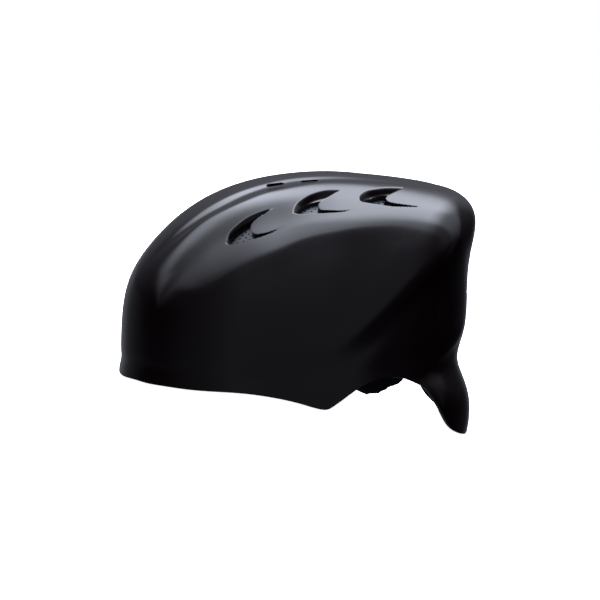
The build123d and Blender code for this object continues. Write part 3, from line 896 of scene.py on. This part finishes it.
def settled(piece):
    """The piece's mesh as its modifiers leave it."""
    bpy.context.view_layer.update()
    return bpy.data.meshes.new_from_object(piece.evaluated_get(bpy.context.evaluated_depsgraph_get()))


def vertex_array(mesh):
    """Places of the mesh's vertices."""
    spots = np.empty(len(mesh.vertices) * 3, np.float32)
    mesh.vertices.foreach_get("co", spots)
    return spots.reshape(-1, 3).astype(float)


def normal_array(mesh):
    """Normals at the mesh's vertices."""
    normals = np.empty(len(mesh.vertices) * 3, np.float32)
    mesh.vertex_normals.foreach_get("vector", normals)
    return normals.reshape(-1, 3).astype(float)


def move_vertices(mesh, spots):
    """Puts the mesh's vertices at new places."""
    mesh.vertices.foreach_set("co", spots.astype(np.float32).ravel())
    mesh.update()


blanks = {}
for name in QUILTING:
    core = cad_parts[name].data.copy()
    weld = bmesh.new()
    weld.from_mesh(core)
    bmesh.ops.remove_doubles(weld, verts=weld.verts, dist=1e-6)
    weld.to_mesh(core)
    weld.free()
    blank = bpy.data.objects.new("cushioned_" + name, core)
    bpy.context.collection.objects.link(blank)
    remesh = blank.modifiers.new("remesh", "REMESH")
    remesh.mode = "VOXEL"
    remesh.voxel_size = PAD_VOXEL
    mesh = settled(blank)
    blank.modifiers.remove(remesh)
    blank.data = mesh
    move_vertices(mesh, vertex_array(mesh) - normal_array(mesh) * PAD_SHRINK)
    blanks[name] = (blank, vertex_array(mesh))
    cloth = blank.modifiers.new("cloth", "CLOTH")
    cloth.settings.quality = 4
    cloth.settings.mass = 0.15
    cloth.settings.tension_stiffness = 8
    cloth.settings.compression_stiffness = 8
    cloth.settings.bending_stiffness = 0.4
    cloth.settings.use_pressure = True
    cloth.settings.uniform_pressure_force = 4
    cloth.settings.effector_weights.gravity = 0
    cloth.point_cache.frame_start, cloth.point_cache.frame_end = 1, PAD_STEPS
for step_number in range(1, PAD_STEPS + 1):
    bpy.context.scene.frame_set(step_number)

head_middle = worn_to_row(np.array(HEAD_MIDDLE))
for name, (blank, start_spots) in blanks.items():
    if blank.modifiers:
        mesh = settled(blank)
        blank.modifiers.clear()
        blank.data = mesh
    mesh = blank.data
    drift = vertex_array(mesh) - start_spots
    drift -= drift.mean(0)
    inward = head_middle - start_spots
    inward /= np.linalg.norm(inward, axis=1, keepdims=True)
    along = (drift * inward).sum(1, keepdims=True)
    drift = drift - along * inward + np.clip(along, -PAD_SWELL_OUT, PAD_SWELL_IN) * inward
    size = np.linalg.norm(drift, axis=1, keepdims=True)
    drift *= np.minimum(1, PAD_SWELL_IN / np.maximum(size, 1e-9))
    move_vertices(mesh, start_spots + drift)
    subdivide = blank.modifiers.new("subdivide", "SUBSURF")
    subdivide.levels = subdivide.render_levels = 1
    mesh = settled(blank)
    blank.modifiers.clear()
    blank.data = mesh
    spots, normals = vertex_array(mesh), normal_array(mesh)
    inward = head_middle - spots
    inward /= np.linalg.norm(inward, axis=1, keepdims=True)
    facing = (normals * inward).sum(1)
    axis, places = QUILTING[name]
    low, high = spots[:, axis].min(), spots[:, axis].max()
    sink = np.zeros(len(spots))
    for place in places:
        line = low + place * (high - low)
        sink = np.maximum(sink, fold(spots[:, axis], line, STITCH_WIDTH))
    sink *= np.clip(facing * 2, 0, 1)
    seam = fold(facing, 0.0, SEAM_SPREAD) * SEAM_SHARE
    move_vertices(mesh, spots - normals * (STITCH_DEPTH * np.maximum(sink, seam))[:, None])
    mesh.shade_smooth()
    sides = [("", 1)] if not name.endswith("_left") else [("_left", 1), ("_right", -1)]
    for suffix, sign in sides:
        if sign > 0:
            pad = blank
        else:
            twin = mesh.copy()
            move_vertices(twin, vertex_array(twin) * np.array([-1, 1, 1]))
            twin.flip_normals()
            pad = bpy.data.objects.new(blank.name.replace("_left", "_right"), twin)
            bpy.context.collection.objects.link(pad)
        pad.data.materials.clear()
        pad.data.materials.append(knit_material)
        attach(pad, "root")
        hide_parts(name.replace("_left", suffix) if suffix else name)

# ---------------------------------------------------------------------------------------------
# Stage: a plain white floor, soft light from a wide bank overhead, and the camera on the wearer's
# left, level with the helmet and a little above it.
# ---------------------------------------------------------------------------------------------
VIEW_TILT = math.radians(8.0)
VIEW_TURN = math.radians(4.0)
VIEW_AWAY = 1860.0
VIEW_AIM = (0.0, 2.2, 58.6)
VIEW_LENS = 150
VIEW_SENSOR = 36
FLOOR = 3.0

aim = np.array(VIEW_AIM)
away = np.array([
    math.cos(VIEW_TILT) * math.cos(VIEW_TURN),
    -math.cos(VIEW_TILT) * math.sin(VIEW_TURN),
    math.sin(VIEW_TILT),
])
eye = Vector(worn_to_row(aim + VIEW_AWAY * away))
back = (eye - Vector(worn_to_row(aim))).normalized()
upright = Vector(worn_to_row(aim + np.array([0, 0, 100.0]))) - Vector(worn_to_row(aim))
right = upright.cross(back).normalized()
camera = bpy.data.objects.new("camera", bpy.data.cameras.new("camera"))
camera.data.lens = VIEW_LENS
camera.data.sensor_width = VIEW_SENSOR
facing_aim = Matrix((right, back.cross(right), back)).transposed().to_4x4()
camera.matrix_world = Matrix.Translation(eye) @ facing_aim
bpy.context.collection.objects.link(camera)
bpy.context.scene.camera = camera

floor_mesh = bpy.data.meshes.new("floor")
floor_corners = [(x * FLOOR, y * FLOOR, 0) for x, y in ((-1, -1), (1, -1), (1, 1), (-1, 1))]
floor_mesh.from_pydata(floor_corners, [], [(0, 1, 2, 3)])
floor = bpy.data.objects.new("floor", floor_mesh)
bpy.context.collection.objects.link(floor)
material, tree, output = new_material("pale_floor")
shader = add_node(
    tree, "ShaderNodeBsdfPrincipled", Base_Color=linear("#e6e6e6"), Roughness=0.9,
    Emission_Color=linear("#ffffff"), Emission_Strength=1.0, Specular_IOR_Level=0.0,
)
tree.links.new(shader.outputs["BSDF"], output.inputs["Surface"])
floor_mesh.materials.append(material)
floor.visible_glossy = False
floor.visible_diffuse = False

# The light bank, as brightness by angle: 0 is level to the left, 90 overhead and 180 level to the
# right. Its front panels leave a dimmer gap overhead, and its rear panels stop higher.
BANK = (
    (-180, 0.018), (-20, 0.016), (8, 0.020), (22, 0.026), (32, 0.040), (40, 0.055), (44, 0.085),
    (48, 0.17), (52, 0.27), (60, 0.32), (68, 0.42), (73, 0.76), (78, 0.96), (88, 0.95),
    (105, 0.86), (115, 0.72), (122, 0.60), (130, 0.38), (137, 0.15), (145, 0.06), (155, 0.036),
    (165, 0.022), (176, 0.012),
)
FRONT_BANK = (
    (-180, 0.018), (8, 0.020), (30, 0.045), (40, 0.12), (45, 0.20), (50, 0.32), (56, 0.40),
    (62, 0.48), (70, 0.56), (76, 0.56), (82, 0.46), (88, 0.37), (95, 0.32), (104, 0.34),
    (110, 0.56), (116, 0.80), (125, 0.76), (133, 0.46), (140, 0.16), (147, 0.05), (160, 0.025),
    (176, 0.012),
)
REAR_BANK = (
    (-180, 0.015), (20, 0.020), (40, 0.024), (44, 0.035), (48, 0.07), (52, 0.22), (58, 0.26),
    (66, 0.36), (72, 0.58), (79, 0.92), (88, 0.95), (105, 0.88), (115, 0.74), (122, 0.58),
    (130, 0.36), (137, 0.14), (145, 0.06), (160, 0.025), (176, 0.012),
)
BANK_ENDS = (
    (-1.0, 0.02), (-0.95, 0.09), (-0.90, 0.20), (-0.80, 0.36), (-0.68, 0.46), (-0.55, 0.60),
    (-0.43, 0.86), (-0.35, 1.0), (0.35, 1.0), (0.43, 0.76), (0.50, 0.52), (0.57, 0.28),
    (0.64, 0.18), (0.80, 0.11), (0.90, 0.05), (0.95, 0.012), (1.0, 0.006),
)
# Where the middle panels give way to the front ones, and to the rear ones, along y.
FRONT_CHANGE = (-0.06, -0.30)
REAR_CHANGE = (0.04, 0.14)
BANK_STRENGTH = 10.0

world = bpy.data.worlds.new("studio")
bpy.context.scene.world = world
world.use_nodes = True
world.node_tree.nodes.clear()
tree = world.node_tree
sky = add_node(tree, "ShaderNodeTexCoord").outputs["Generated"]
direction = add_node(tree, "ShaderNodeSeparateXYZ", Vector=sky).outputs
angle = add_node(
    tree, "ShaderNodeMath", {"operation": "ARCTAN2"}, s0=direction["Z"], s1=direction["X"],
)


def ramp(tree, factor, stops):
    """A ramp of greys through stops of position 0 to 1 and brightness."""
    node = add_node(tree, "ShaderNodeValToRGB", Fac=factor)
    elements = node.color_ramp.elements
    while len(elements) > 1:
        elements.remove(elements[-1])
    elements[0].position, elements[0].color = stops[0][0], (*(stops[0][1],) * 3, 1)
    for place, level in stops[1:]:
        elements.new(place).color = (level, level, level, 1)
    return node.outputs["Color"]


def share_of(value, start, end):
    """0 where value is start, 1 where it is end, and even between."""
    return add_node(tree, "ShaderNodeMapRange", Value=value, From_Min=start, From_Max=end).outputs[0]


def mixed(share, first, second, blend="MIX"):
    """A mix of two colours."""
    node = add_node(
        tree, "ShaderNodeMix", {"data_type": "RGBA", "blend_type": blend}, s0=share, s6=first, s7=second,
    )
    return node.outputs[2]


turned = share_of(angle.outputs[0], -math.pi, math.pi)
middle_bank, front_bank, rear_bank = (
    ramp(tree, turned, [((degrees + 180) / 360, level) for degrees, level in stops])
    for stops in (BANK, FRONT_BANK, REAR_BANK)
)
forward = mixed(share_of(direction["Y"], *FRONT_CHANGE), middle_bank, front_bank)
bank = mixed(share_of(direction["Y"], *REAR_CHANGE), forward, rear_bank)
fall_off = ramp(
    tree, share_of(direction["Y"], -1.0, 1.0), [((y + 1) / 2, level) for y, level in BANK_ENDS],
)
both = mixed(1.0, bank, fall_off, "MULTIPLY")
tinted = mixed(1.0, both, linear("#e9f0ff"), "MULTIPLY")
path = add_node(tree, "ShaderNodeLightPath")
dim = add_node(tree, "ShaderNodeBackground", Color=tinted, Strength=BANK_STRENGTH)
bright = add_node(tree, "ShaderNodeBackground", Color=linear("#ffffff"), Strength=1.0)
mix = add_node(
    tree, "ShaderNodeMixShader", s0=path.outputs["Is Camera Ray"],
    s1=dim.outputs[0], s2=bright.outputs[0],
)
tree.links.new(mix.outputs[0], add_node(tree, "ShaderNodeOutputWorld").inputs["Surface"])
bpy.context.scene.view_settings.view_transform = "Standard"
